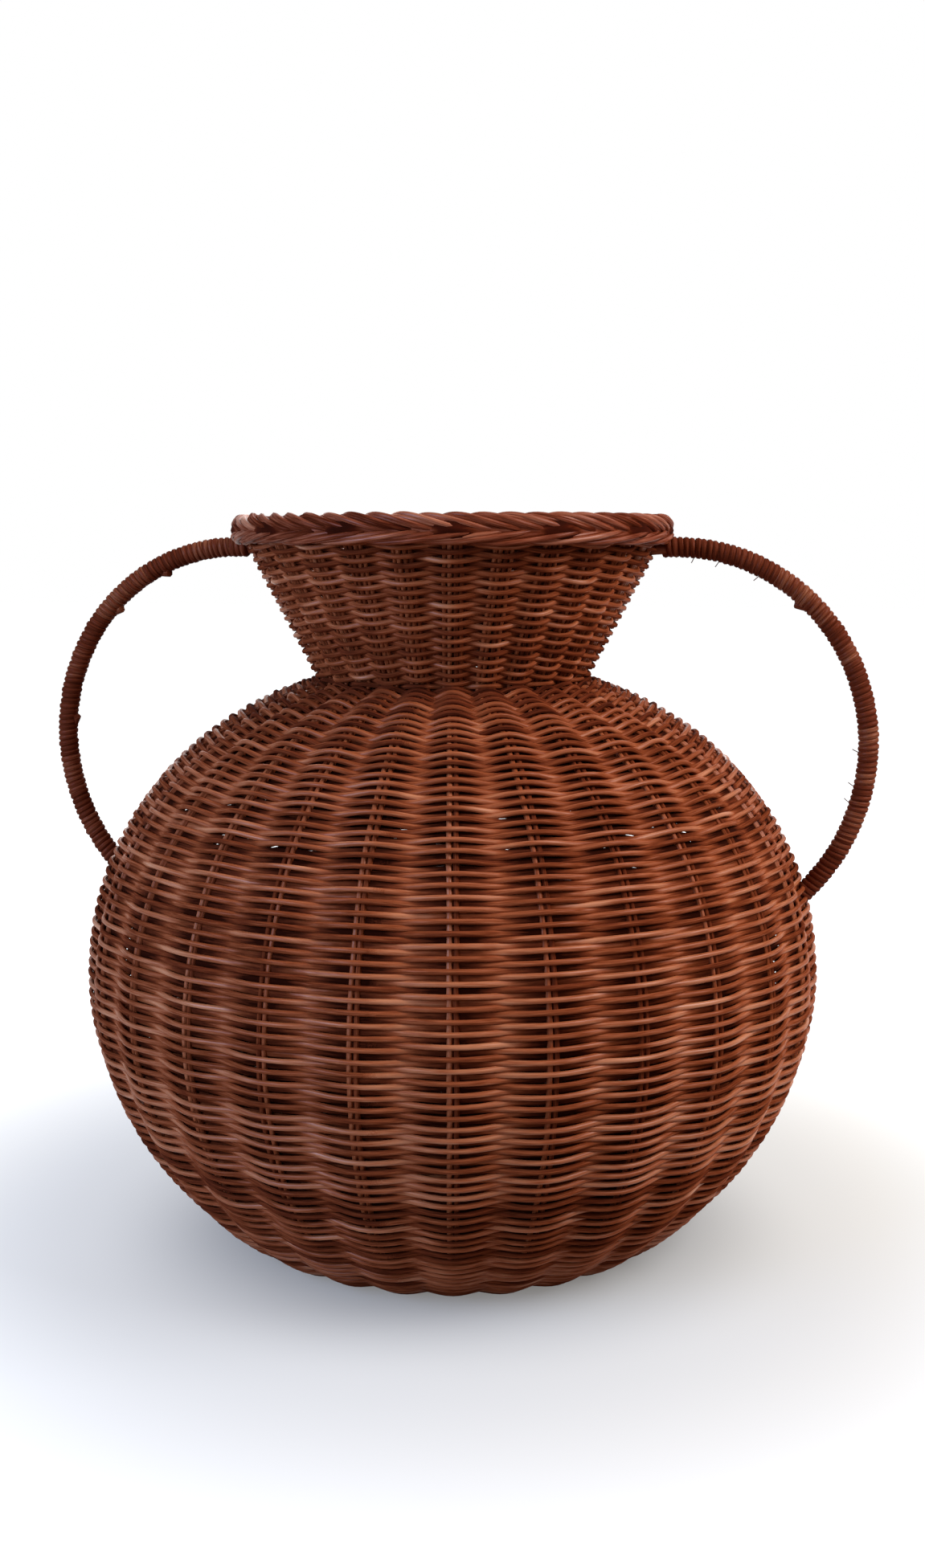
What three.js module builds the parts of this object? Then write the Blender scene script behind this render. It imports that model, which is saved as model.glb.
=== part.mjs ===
import * as THREE from "three";

// A round-bellied rattan vase, woven on paired stakes, with a plaited rim and two bound handles.
// Millimetres, +Z up. The origin is the middle of the base and the handles lie along X.

// Outline of the body, measured over the crests of the weave
const BASE_RADIUS = 116;
const BELLY_RADIUS = 211.5;
const BELLY_HEIGHT = 152;
const NECK_RADIUS = 81;
const NECK_HEIGHT = 330;
const MOUTH_RADIUS = 119;
const MOUTH_HEIGHT = 398.7;

// Arms that shape the two curves of the body, from the base and up to the neck
const BASE_ARM_OUT = 35;
const BASE_ARM_UP = 13;
const BELLY_ARM_DOWN = 75;
const BELLY_ARM_UP = 82;
const NECK_ARM_OUT = 82;
const NECK_ARM_DOWN = 36;

// Woven wall: a row passes outside one stake and sinks in at the next, and the row above does the opposite.
// Each row stands for six of the real ones. A row starts over at the back, just before its first stake.
const STAKE_COUNT = 27;
const FIRST_STAKE = 7;
const REED = 2.4;
const ROW_HEIGHT = 17.6;
const ROW_RELIEF = 2.4;
const ROW_STEP = 3;
const WALL = 4;
const CLEARANCE = 0.3;

// Woven base with its crossed sticks
const BASE_THICKNESS = 6;
const BASE_STICKS = 4;
const BASE_STICK_REACH = 88;

// Plaited rim of three strands
const RIM_STRAND = 4.5;
const RIM_DEPTH = 14.5;
const RIM_OVERHANG = 7;
const RIM_PERIODS = 18;

// Handles: a rod bound all the way, from under the rim down to the belly
const HANDLE_STANDOFF = 29.9;
const HANDLE_MIDDLE = 285.5;
const HANDLE_FOOT = 204.5;
const HANDLE_THICKNESS = 11.8;
const HANDLE_SEAT_DROP = 4.4;
const HANDLE_CROWN_DROP = 1.5;
const HANDLE_CROWN_OUT = 8.5;
const BINDING_THICKNESS = 2.2;
const BINDING_TURNS = 24;
const BINDING_GAP = 0.8;

// Facets
const LOWER_STEPS = 5;
const UPPER_STEPS = 6;
const COLUMNS_PER_STAKE = 2;
const STRAND_STEPS_PER_PERIOD = 6;
const STRAND_SIDES = 5;
const CORE_STEPS = 22;
const CORE_SIDES = 8;
const BINDING_STEPS_PER_TURN = 8;
const BASE_SEGMENTS = 54;
const STICK_SIDES = 8;

const TURN = 2 * Math.PI;
const STAKE_STEP = TURN / STAKE_COUNT;
const COLUMN_STEP = STAKE_STEP / COLUMNS_PER_STAKE;

const RATTAN = { color: 0x7b4935, roughness: 0.62, metalness: 0 };
const PALE_RATTAN = { color: 0x8a5a42, roughness: 0.65, metalness: 0 };
const RIM_RATTAN = { color: 0x83492f, roughness: 0.55, metalness: 0 };
const DARK_RATTAN = { color: 0x4c2a1d, roughness: 0.6, metalness: 0 };

const vase = new THREE.Group();

function addPiece(name, geometry, finish) {
  const piece = new THREE.Mesh(geometry, new THREE.MeshStandardMaterial(finish));
  piece.name = name;
  vase.add(piece);
}

// A point at a radius, height and angle, moved sideways along the wall where that is asked for
function around(radius, height, angle, sideways = 0) {
  const x = radius * Math.cos(angle) - sideways * Math.sin(angle);
  const y = radius * Math.sin(angle) + sideways * Math.cos(angle);
  return new THREE.Vector3(x, y, height);
}

// Whether a face with four corners stands out along the line from its first corner to its third
function standsOut(first, second, third, fourth) {
  const normal = second.clone().sub(first).cross(third.clone().sub(first));
  return fourth.clone().sub(first).dot(normal) < 0;
}

// A closed solid through rings of points, which close on each other or end in two flat caps.
// Each ring turns anticlockwise about the direction in which the rings follow one another.
function loft(rings, closed) {
  const size = rings[0].length;
  const points = rings.flat();
  const faces = [];
  const spans = closed ? rings.length : rings.length - 1;
  for (let span = 0; span < spans; span++) {
    const here = span * size;
    const there = ((span + 1) % rings.length) * size;
    for (let i = 0; i < size; i++) {
      const j = (i + 1) % size;
      const [a, b, c, d] = [here + i, here + j, there + j, there + i];
      if (standsOut(points[a], points[b], points[c], points[d])) {
        faces.push(a, b, c, a, c, d);
      } else {
        faces.push(a, b, d, b, c, d);
      }
    }
  }
  const last = spans * size;
  for (let i = 1; i < size - 1 && !closed; i++) {
    faces.push(0, i + 1, i);
    faces.push(last, last + i, last + i + 1);
  }
  const geometry = new THREE.BufferGeometry().setFromPoints(points);
  geometry.setIndex(faces);
  return geometry;
}

// The body's outline

// The line over the crests, as radius and height: out to the belly, in to the neck and out to the mouth
function crestLine() {
  const base = new THREE.Vector2(BASE_RADIUS, 0);
  const belly = new THREE.Vector2(BELLY_RADIUS, BELLY_HEIGHT);
  const neck = new THREE.Vector2(NECK_RADIUS, NECK_HEIGHT);
  const mouth = new THREE.Vector2(MOUTH_RADIUS, MOUTH_HEIGHT);
  const baseArm = new THREE.Vector2(BASE_RADIUS + BASE_ARM_OUT, BASE_ARM_UP);
  const bellyArmDown = new THREE.Vector2(BELLY_RADIUS, BELLY_HEIGHT - BELLY_ARM_DOWN);
  const bellyArmUp = new THREE.Vector2(BELLY_RADIUS, BELLY_HEIGHT + BELLY_ARM_UP);
  const neckArm = new THREE.Vector2(NECK_RADIUS + NECK_ARM_OUT, NECK_HEIGHT - NECK_ARM_DOWN);
  const line = new THREE.CurvePath();
  line.add(new THREE.CubicBezierCurve(base, baseArm, bellyArmDown, belly));
  line.add(new THREE.CubicBezierCurve(belly, bellyArmUp, neckArm, neck));
  line.add(new THREE.LineCurve(neck, mouth));
  return line;
}

const crest = crestLine();
const [lengthToBelly, lengthToNeck, lengthToMouth] = crest.getCurveLengths();

// Lengths along the crest line at which the inside of the wall and the stakes have a corner
function cornerPlaces() {
  const places = [];
  for (let i = 0; i < LOWER_STEPS; i++) {
    places.push((lengthToBelly * i) / LOWER_STEPS);
  }
  for (let i = 0; i < UPPER_STEPS; i++) {
    places.push(lengthToBelly + ((lengthToNeck - lengthToBelly) * i) / UPPER_STEPS);
  }
  return [...places, lengthToNeck, lengthToMouth];
}

const places = cornerPlaces();
const corners = places.map((place) => crest.getPoint(place / lengthToMouth));

const outwards = corners.slice(1).map((end, i) => {
  const side = end.clone().sub(corners[i]).normalize();
  return new THREE.Vector2(side.y, -side.x);
});

// The outline at a depth under the crests: mitred at each corner, level at the floor and the mouth
function outline(depth) {
  return corners.map((corner, i) => {
    const below = outwards[i - 1];
    const above = outwards[i];
    if (!below || !above) {
      const only = below ?? above;
      return new THREE.Vector2(corner.x - depth / only.x, corner.y);
    }
    const mitre = below.clone().add(above).divideScalar(1 + below.dot(above));
    return corner.clone().addScaledVector(mitre, -depth);
  });
}

// A point at a length along the crest line and a depth under it
function wallPoint(place, depth) {
  const along = crest.getTangent(place / lengthToMouth);
  const point = crest.getPoint(place / lengthToMouth);
  return point.addScaledVector(new THREE.Vector2(along.y, -along.x), -depth);
}

// The woven wall, in four bands that part where one set of weavers ends and the next begins

const bands = [
  { name: "lower_weave", start: 0, end: LOWER_STEPS - 2 },
  { name: "belly_weave", start: LOWER_STEPS - 2, end: LOWER_STEPS + 2 },
  { name: "shoulder_weave", start: LOWER_STEPS + 2, end: LOWER_STEPS + UPPER_STEPS },
  { name: "collar_weave", start: LOWER_STEPS + UPPER_STEPS, end: LOWER_STEPS + UPPER_STEPS + 1 },
];

function movedTowards(point, goal, distance) {
  const step = goal.clone().sub(point).setLength(distance);
  return point.clone().add(step);
}

// A line of points drawn in by the clearance at its start, at its end or at both
function drawnIn(line, atStart, atEnd) {
  const last = line.length - 1;
  const drawn = [...line];
  if (atStart) {
    drawn[0] = movedTowards(line[0], line[1], CLEARANCE);
  }
  if (atEnd) {
    drawn[last] = movedTowards(line[last], line[last - 1], CLEARANCE);
  }
  return drawn;
}

// The two edges of each row of a band at an angle: where they lie along the crest line, and how deep
function rowEdges({ start, end }, angle) {
  const firstRow = Math.round(places[start] / ROW_HEIGHT);
  const lastRow = Math.max(firstRow + 1, Math.round(places[end] / ROW_HEIGHT));
  const height = (places[end] - places[start]) / (lastRow - firstRow);
  const passed = THREE.MathUtils.euclideanModulo(angle / STAKE_STEP - FIRST_STAKE, STAKE_COUNT);
  const edges = [];
  for (let row = firstRow; row < lastRow; row++) {
    const place = places[start] + (row - firstRow) * height;
    const depth = ROW_RELIEF * THREE.MathUtils.pingpong(passed + row);
    edges.push({ place: place + ROW_STEP / 2, depth });
    edges.push({ place: place + height - ROW_STEP / 2, depth });
  }
  edges.at(0).place = places[start];
  edges.at(-1).place = places[end];
  return edges;
}

function wovenBand(band) {
  const { start, end } = band;
  const drawnAtStart = start > 0;
  const drawnAtEnd = end < corners.length - 1;
  const inside = drawnIn(outline(WALL).slice(start, end + 1), drawnAtStart, drawnAtEnd);
  const rings = [];
  for (let column = 0; column < STAKE_COUNT * COLUMNS_PER_STAKE; column++) {
    const angle = column * COLUMN_STEP;
    const edges = rowEdges(band, angle);
    const between = edges.slice(1, -1).map(({ place, depth }) => wallPoint(place, depth));
    const rows = [outline(edges.at(0).depth)[start], ...between, outline(edges.at(-1).depth)[end]];
    const outside = drawnIn(rows, drawnAtStart, drawnAtEnd).reverse();
    rings.push([...outside, ...inside].map((point) => around(point.x, point.y, angle)));
  }
  return loft(rings, true);
}

for (const band of bands) {
  addPiece(band.name, wovenBand(band), RATTAN);
}

// Stakes: two reeds side by side, lying against the inside of the wall from the floor to the mouth

function stake(angle) {
  const seat = WALL + CLEARANCE;
  const section = [
    [0, -0.7],
    [0, 0.7],
    [1, 1],
    [1, -1],
  ];
  const edges = section.map(([depth, sideways]) => ({
    line: drawnIn(outline(seat + depth * REED), true, true),
    sideways: sideways * REED,
  }));
  const rings = corners.map((_, i) =>
    edges.map(({ line, sideways }) => around(line[i].x, line[i].y, angle, sideways)),
  );
  return loft(rings, false);
}

for (let i = 0; i < STAKE_COUNT; i++) {
  addPiece(`stake_${String(i + 1).padStart(2, "0")}`, stake(i * STAKE_STEP), PALE_RATTAN);
}

// Base: a woven disc inside the feet of the stakes, and two rows of sticks crossed on it

function baseDisc() {
  const radius = outline(WALL + CLEARANCE + REED)[0].x - CLEARANCE;
  const profile = [
    new THREE.Vector2(0, 0),
    new THREE.Vector2(radius, 0),
    new THREE.Vector2(radius, BASE_THICKNESS / 2),
    new THREE.Vector2(radius - BASE_THICKNESS / 2, BASE_THICKNESS),
    new THREE.Vector2(0, BASE_THICKNESS),
  ];
  return new THREE.LatheGeometry(profile, BASE_SEGMENTS).rotateX(Math.PI / 2);
}

// Sticks side by side along Y, with their undersides at a height, turned about the axis of the vase
function addBaseSticks(name, height, turn) {
  const spacing = REED + CLEARANCE;
  for (let i = 0; i < BASE_STICKS; i++) {
    const stick = new THREE.CylinderGeometry(REED / 2, REED / 2, 2 * BASE_STICK_REACH, STICK_SIDES);
    stick.translate((i - (BASE_STICKS - 1) / 2) * spacing, 0, height + REED / 2);
    addPiece(`${name}_${i + 1}`, stick.rotateZ(turn), PALE_RATTAN);
  }
}

addPiece("base_weave", baseDisc(), RATTAN);
addBaseSticks("base_stick_lower", BASE_THICKNESS + CLEARANCE, 0);
addBaseSticks("base_stick_upper", BASE_THICKNESS + REED + 2 * CLEARANCE, Math.PI / 2);

// Plaited rim: three strands that sway up and down and pass over one another as they go round

const rimOutside = MOUTH_RADIUS + RIM_OVERHANG;
const rimRadius = rimOutside - RIM_DEPTH / 2;
const rimWeave = (RIM_DEPTH - RIM_STRAND) / 2;
// Strands cross a sixth of a period apart, so this sway lets one pass over the next with clearance
const rimPass = RIM_STRAND + CLEARANCE;
const rimSway = (rimWeave * rimPass) / Math.sqrt(rimWeave ** 2 - rimPass ** 2 / 3);
const rimMiddle = MOUTH_HEIGHT + CLEARANCE + RIM_STRAND / 2 + rimSway;

function rimPoint(turn, phase) {
  const sway = RIM_PERIODS * turn + phase;
  const radius = rimRadius - rimWeave * Math.sin(2 * sway);
  const height = rimMiddle + rimSway * Math.sin(sway);
  return around(radius, height, turn);
}

function rimStrand(phase) {
  const steps = RIM_PERIODS * STRAND_STEPS_PER_PERIOD;
  const step = TURN / steps;
  const rings = [];
  for (let i = 0; i < steps; i++) {
    const turn = (i + 0.5) * step;
    const centre = rimPoint(turn, phase);
    const along = rimPoint(turn + step, phase).sub(rimPoint(turn - step, phase)).normalize();
    const side = along.clone().cross(around(1, 0, turn)).normalize();
    const out = side.clone().cross(along);
    rings.push(roundSection(centre, out, side, RIM_STRAND / 2, STRAND_SIDES));
  }
  return loft(rings, true);
}

function roundSection(centre, out, side, radius, sides) {
  const ring = [];
  for (let i = 0; i < sides; i++) {
    const angle = (i * TURN) / sides;
    const point = centre.clone().addScaledVector(out, radius * Math.cos(angle));
    ring.push(point.addScaledVector(side, radius * Math.sin(angle)));
  }
  return ring;
}

for (let i = 0; i < 3; i++) {
  addPiece(`rim_strand_${i + 1}`, rimStrand((i * TURN) / 3), RIM_RATTAN);
}

// Handles: each lies in one upright plane, given by its angle, and is seated on the wall at both ends

const handleRadius = HANDLE_THICKNESS / 2;
const bindingRadius = handleRadius - BINDING_THICKNESS / 2;
const bindingFlat = Math.cos(Math.PI / BINDING_STEPS_PER_TURN);
const coreRadius = bindingRadius * bindingFlat - BINDING_THICKNESS / 2 - CLEARANCE;

// Length along the crest line at which it reaches a height
function placeAt(height) {
  let low = 0;
  let high = lengthToMouth;
  while (high - low > CLEARANCE / 10) {
    const middle = (low + high) / 2;
    if (crest.getPoint(middle / lengthToMouth).y < height) {
      low = middle;
    } else {
      high = middle;
    }
  }
  return low;
}

// Depth of the woven wall at a length along the crest line and an angle
function weaveDepth(place, angle) {
  const band = bands.find(({ end }) => place <= places[end]);
  const edges = rowEdges(band, angle);
  const above = Math.max(1, edges.findIndex((edge) => edge.place >= place));
  const low = edges[above - 1];
  const high = edges[above];
  return THREE.MathUtils.mapLinear(place, low.place, high.place, low.depth, high.depth);
}

// Where a handle's rod meets the wall at a height: a point clear of all rows under the rod's end, which
// reaches about two radii along the wall, and the wall's direction there
function handleSeat(height, angle) {
  const place = placeAt(height);
  const lean = coreRadius / MOUTH_RADIUS;
  const highest = Math.min(place + 2 * coreRadius, lengthToMouth);
  let depth = ROW_RELIEF;
  for (let under = place - 2 * coreRadius; under <= highest; under += CLEARANCE) {
    for (const turn of [-lean, 0, lean]) {
      depth = Math.min(depth, weaveDepth(under, angle + turn));
    }
  }
  return { point: wallPoint(place, depth - CLEARANCE), wall: crest.getTangent(place / lengthToMouth) };
}

function handlePath(top, foot) {
  const reach = BELLY_RADIUS + HANDLE_STANDOFF - handleRadius;
  const crown = new THREE.Vector2(MOUTH_RADIUS + HANDLE_CROWN_OUT, MOUTH_HEIGHT - HANDLE_CROWN_DROP);
  const inset = reach - foot.x;
  const drop = HANDLE_MIDDLE - foot.y;
  const footArc = (inset ** 2 + drop ** 2) / (2 * inset);
  const path = new THREE.Path();
  path.moveTo(top.x, top.y);
  path.quadraticCurveTo((top.x + crown.x) / 2, crown.y, crown.x, crown.y);
  path.absellipse(crown.x, HANDLE_MIDDLE, reach - crown.x, crown.y - HANDLE_MIDDLE, Math.PI / 2, 0, true);
  path.absarc(reach - footArc, HANDLE_MIDDLE, footArc, 0, -Math.asin(drop / footArc), true);
  return path;
}

// The frame of a handle at a share of its length: its middle, and the directions along and across it
function handleFrame(path, share, angle) {
  const middle = path.getPoint(share);
  const along = path.getTangent(share);
  return {
    centre: around(middle.x, middle.y, angle),
    along: around(along.x, along.y, angle),
    across: around(along.y, -along.x, angle),
    side: around(0, 0, angle, 1),
  };
}

// How far the end of a handle leans along its length for each millimetre across it, to lie on the wall
function endLean(path, share, wall) {
  const along = path.getTangent(share);
  return wall.dot(along) / wall.dot(new THREE.Vector2(along.y, -along.x));
}

function handleCore(path, angle, topLean, footLean) {
  const rings = [];
  for (let i = 0; i <= CORE_STEPS; i++) {
    const { centre, along, across, side } = handleFrame(path, i / CORE_STEPS, angle);
    const lean = i === 0 ? topLean : i === CORE_STEPS ? footLean : 0;
    rings.push(roundSection(centre, across.addScaledVector(along, lean), side, coreRadius, CORE_SIDES));
  }
  return loft(rings, false);
}

// Binding: one flat strand wound round the rod from the rim to the belly, with a straight tail at each end
function handleBinding(name, path, angle, start, end) {
  const steps = BINDING_TURNS * BINDING_STEPS_PER_TURN;
  const pitch = ((end - start) * path.getLength()) / BINDING_TURNS;
  const climb = Math.cos(Math.atan2(pitch, TURN * bindingRadius));
  const halfWidth = (pitch * climb - BINDING_GAP) / 2;
  const half = BINDING_THICKNESS / 2;
  const section = [
    [half, -halfWidth / 2],
    [half, halfWidth / 2],
    [0, halfWidth],
    [-half, halfWidth / 2],
    [-half, -halfWidth / 2],
    [0, -halfWidth],
  ];
  const windings = [];
  for (let i = 0; i <= steps; i++) {
    const { centre, across, side } = handleFrame(path, start + ((end - start) * i) / steps, angle);
    const turn = (i * TURN) / BINDING_STEPS_PER_TURN;
    const out = across.multiplyScalar(Math.cos(turn)).addScaledVector(side, Math.sin(turn));
    windings.push({ point: centre.addScaledVector(out, bindingRadius), out });
  }
  const rings = windings.map(({ point, out }, i) => {
    const before = windings[Math.max(i - 1, 0)].point;
    const after = windings[Math.min(i + 1, steps)].point;
    const strand = after.clone().sub(before).normalize();
    const flat = strand.clone().cross(out).normalize();
    return section.map(([u, v]) => point.clone().addScaledVector(out, u).addScaledVector(flat, v));
  });
  const tail = (from, to) => {
    const run = to.point.clone().sub(from.point).setLength(BINDING_THICKNESS);
    return (ring) => ring.map((point) => point.clone().add(run));
  };
  const firstTail = tail(windings[1], windings[0])(rings[0]);
  const lastTail = tail(windings[steps - 1], windings[steps])(rings[steps]);
  const wound = [firstTail, ...rings, lastTail];
  console.log(`${name}: least gap to itself ${leastGap(wound).toFixed(2)} mm`);
  return loft(wound, false);
}

// Least distance between the points of turns that lie beside one another
function leastGap(rings) {
  let least = Infinity;
  for (let i = 0; i < rings.length; i++) {
    for (let j = i + BINDING_STEPS_PER_TURN - 2; j < rings.length; j++) {
      for (const point of rings[i]) {
        for (const other of rings[j]) {
          least = Math.min(least, point.distanceTo(other));
        }
      }
    }
  }
  return least;
}

function addHandle(name, angle) {
  const top = handleSeat(MOUTH_HEIGHT - HANDLE_SEAT_DROP, angle);
  const foot = handleSeat(HANDLE_FOOT, angle);
  const path = handlePath(top.point, foot.point);
  const length = path.getLength();
  const topLean = endLean(path, 0, top.wall);
  const footLean = endLean(path, 1, foot.wall);
  const halfPitch = length / BINDING_TURNS / 2;
  const start = (rimOutside - top.point.x + halfPitch + BINDING_THICKNESS) / length;
  const end = 1 - (handleRadius * Math.abs(footLean) + halfPitch + ROW_RELIEF + CLEARANCE) / length;
  addPiece(`${name}_core`, handleCore(path, angle, topLean, footLean), DARK_RATTAN);
  addPiece(`${name}_binding`, handleBinding(name, path, angle, start, end), DARK_RATTAN);
}

addHandle("right_handle", 0);
addHandle("left_handle", Math.PI);

export default vase;
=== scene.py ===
"""Dress the packed rattan vase: weave, stakes, plaited rim, bound handles and a plain stage."""

import math
from collections import namedtuple

import bpy
from mathutils import Matrix, Vector
from mathutils.geometry import interpolate_bezier


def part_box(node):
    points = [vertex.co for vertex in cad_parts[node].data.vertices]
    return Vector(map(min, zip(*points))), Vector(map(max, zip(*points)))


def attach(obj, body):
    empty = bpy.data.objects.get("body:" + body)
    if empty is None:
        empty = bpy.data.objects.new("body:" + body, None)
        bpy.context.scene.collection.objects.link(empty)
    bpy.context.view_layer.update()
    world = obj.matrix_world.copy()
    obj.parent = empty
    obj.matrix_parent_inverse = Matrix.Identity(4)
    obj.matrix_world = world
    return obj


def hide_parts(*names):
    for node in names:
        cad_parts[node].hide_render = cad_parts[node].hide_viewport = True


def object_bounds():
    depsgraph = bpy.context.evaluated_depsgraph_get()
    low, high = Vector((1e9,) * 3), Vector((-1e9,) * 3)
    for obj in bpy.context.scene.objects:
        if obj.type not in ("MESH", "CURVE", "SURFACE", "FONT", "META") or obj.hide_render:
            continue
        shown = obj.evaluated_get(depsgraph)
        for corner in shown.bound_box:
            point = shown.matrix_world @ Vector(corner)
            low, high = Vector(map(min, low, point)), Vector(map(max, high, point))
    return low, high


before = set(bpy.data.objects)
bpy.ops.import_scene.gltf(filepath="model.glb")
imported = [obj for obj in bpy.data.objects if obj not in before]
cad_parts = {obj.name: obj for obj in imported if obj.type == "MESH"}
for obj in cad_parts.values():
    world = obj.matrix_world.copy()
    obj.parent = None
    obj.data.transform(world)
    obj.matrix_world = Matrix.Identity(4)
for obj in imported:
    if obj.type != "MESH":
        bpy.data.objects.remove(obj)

bl_info = {
    "name": "Rattan Vase",
    "version": (1, 0, 0),
    "blender": (4, 5, 0),
    "location": "3D View > Sidebar > Rattan Vase",
    "description": "Weaves a rattan vase with a plaited rim and bound handles in its packed frame",
    "category": "Add Mesh",
}

MM = 0.001
TURN = 2 * math.pi
WHITE = (1.0, 1.0, 1.0)
CAD_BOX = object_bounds()


def top_of(node):
    """Height of a node's highest corner."""
    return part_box(node)[1][2]


def reach_of(node):
    """How far a node reaches along +X."""
    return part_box(node)[1][0]


def nodes_named(start):
    """Names of the nodes that begin with the given letters, in order."""
    return sorted(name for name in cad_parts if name.startswith(start))


# Sizes and colours that a user would change

def length(name, description, default):
    """A length in metres."""
    return bpy.props.FloatProperty(
        name=name, description=description, default=default, unit="LENGTH", precision=4
    )


def number(name, description, default):
    """A plain number."""
    return bpy.props.FloatProperty(name=name, description=description, default=default)


def arm(place, way, default):
    """Reach of the outline's curve out of one of its points, one way."""
    return length(f"{place} arm {way}", f"Reach of the curve's arm here, {way}", default)


def bulge_at(place, default):
    """How far the weavers pass outside the stakes in one place."""
    return length(f"{place} bulge", "How far the weavers pass outside the stakes here", default)


def lightness(place, default):
    """How much lighter a place is than its stain; it is darker below 0."""
    return number(f"{place} lightness", "Added to the lightness of the stain here", default)


def count(name, description, default):
    """A whole number of pieces."""
    return bpy.props.IntProperty(name=name, description=description, default=default, min=1)


def colour(name, description, default):
    """A colour in linear red, green and blue."""
    return bpy.props.FloatVectorProperty(
        name=name, description=description, default=default, subtype="COLOR", size=3, min=0, max=1
    )


def degrees(name, description, default):
    """An angle, given in degrees."""
    return bpy.props.FloatProperty(
        name=name, description=description, default=math.radians(default), subtype="ANGLE", unit="ROTATION"
    )


class VaseOutline(bpy.types.PropertyGroup):
    """Outline of the body over the crests of the weave"""

    base_radius: length("Base radius", "Radius of the foot", 121 * MM)
    base_arm_out: arm("Base", "out", 30 * MM)
    base_arm_up: arm("Base", "up", 13 * MM)
    belly_radius: length("Belly radius", "Largest radius of the belly", 211.5 * MM)
    belly_height: length("Belly height", "Height of the largest radius", 152 * MM)
    belly_arm_down: arm("Belly", "down", 75 * MM)
    belly_arm_up: arm("Belly", "up", 82 * MM)
    neck_radius: length("Neck radius", "Radius of the crease at the neck", 80 * MM)
    neck_height: length("Neck height", "Height of the crease at the neck", 324 * MM)
    neck_arm_out: arm("Neck", "out", 82 * MM)
    neck_arm_down: arm("Neck", "down", 26.5 * MM)
    mouth_radius: length("Mouth radius", "Radius of the collar under the rim", 119 * MM)
    mouth_height: length("Mouth height", "Height of the collar under the rim", top_of("collar_weave"))


class VaseWeave(bpy.types.PropertyGroup):
    """Weavers and stakes of the wall and the base"""

    stakes: count("Stakes", "Stakes round the wall; an odd number, so that one weaver alternates", 27)
    row_pitch: length("Row pitch", "Distance between rows along the body", 2.93 * MM)
    collar_pitch: length("Collar pitch", "Distance between rows along the collar", 2.65 * MM)
    rim_overlap: length("Rim overlap", "How far the rows of the collar go up inside the rim", 8 * MM)
    weaver: length("Weaver", "Thickness of a weaver", 3.45 * MM)
    belly_bulge: bulge_at("Belly", 2.75 * MM)
    neck_bulge: bulge_at("Neck", 2.8 * MM)
    foot_bulge: bulge_at("Foot", 1.7 * MM)
    base_bulge: bulge_at("Base", 2.4 * MM)
    rib: number("Rib", "Share of their bulge by which the weavers sink between the body's stakes", 0.5)
    collar_rib: number("Collar rib", "The same share on the collar", 0.3)
    wander: length("Wander", "How far a row strays from its line", 0.8 * MM)
    flattening: number("Flattening", "How much thinner a weaver is outside the stakes than between", 0.2)
    reed: length("Reed", "Thickness of a reed in a stake", 3.0 * MM)
    reed_spacing: length("Reed spacing", "Distance between the middles of a stake's reeds", 3.3 * MM)
    stake_start: length("Stake start", "Distance from the base's hole at which the stakes begin", 37 * MM)
    added_drop: length("Added drop", "How far under the neck the collar's added reeds begin", 14 * MM)
    base_hole: length("Base hole", "Radius at which the weave of the base begins", 8 * MM)
    base_middle: length("Base middle", "Radius up to which the base is woven on its sticks", 30 * MM)
    base_spokes: count("Base spokes", "Spokes of the middle of the base; an odd number", 9)


class VaseRim(bpy.types.PropertyGroup):
    """Plaited border of the mouth"""

    bundles: count("Bundles", "Bundles of reeds that go over the border", 54)
    strands: count("Strands", "Strands that rise from the collar to under the bundles", 27)
    reeds: count("Reeds", "Reeds in a bundle or a strand", 2)
    reed: length("Reed", "Thickness of a reed in the border", 3.0 * MM)
    outer_radius: length("Outer radius", "Reach of the border from the axis", 126 * MM)
    height: length("Height", "Height of the border", 17 * MM)
    depth: length("Depth", "Depth of the border from outside to inside", 14.2 * MM)


class VaseHandle(bpy.types.PropertyGroup):
    """Bound hoop handles"""

    reach: length("Reach", "Reach of a handle from the axis", reach_of("right_handle_binding"))
    middle: length("Middle", "Height at which a handle stands upright", 285.5 * MM)
    foot: length("Foot", "Height at which a handle enters the belly", 204.5 * MM)
    entry: length("Entry", "How far the lower end goes into the belly", 7 * MM)
    thickness: length("Thickness", "Thickness over the binding", 11.8 * MM)
    crown_out: length("Crown out", "Distance of the highest point outside the mouth", 8.5 * MM)
    crown_drop: length("Crown drop", "Distance of the highest point under the mouth", 1.5 * MM)
    seat_in: length("Seat in", "Distance of the upper end inside the mouth", 14 * MM)
    seat_drop: length("Seat drop", "Distance of the upper end under the mouth", 3.0 * MM)
    strand: length("Strand", "Thickness of the binding strand", 4.2 * MM)
    pitch: length("Pitch", "Distance between turns of the binding", 3.2 * MM)
    bare: length("Bare", "Length of rod under the rim that is left unbound", 16 * MM)


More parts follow.
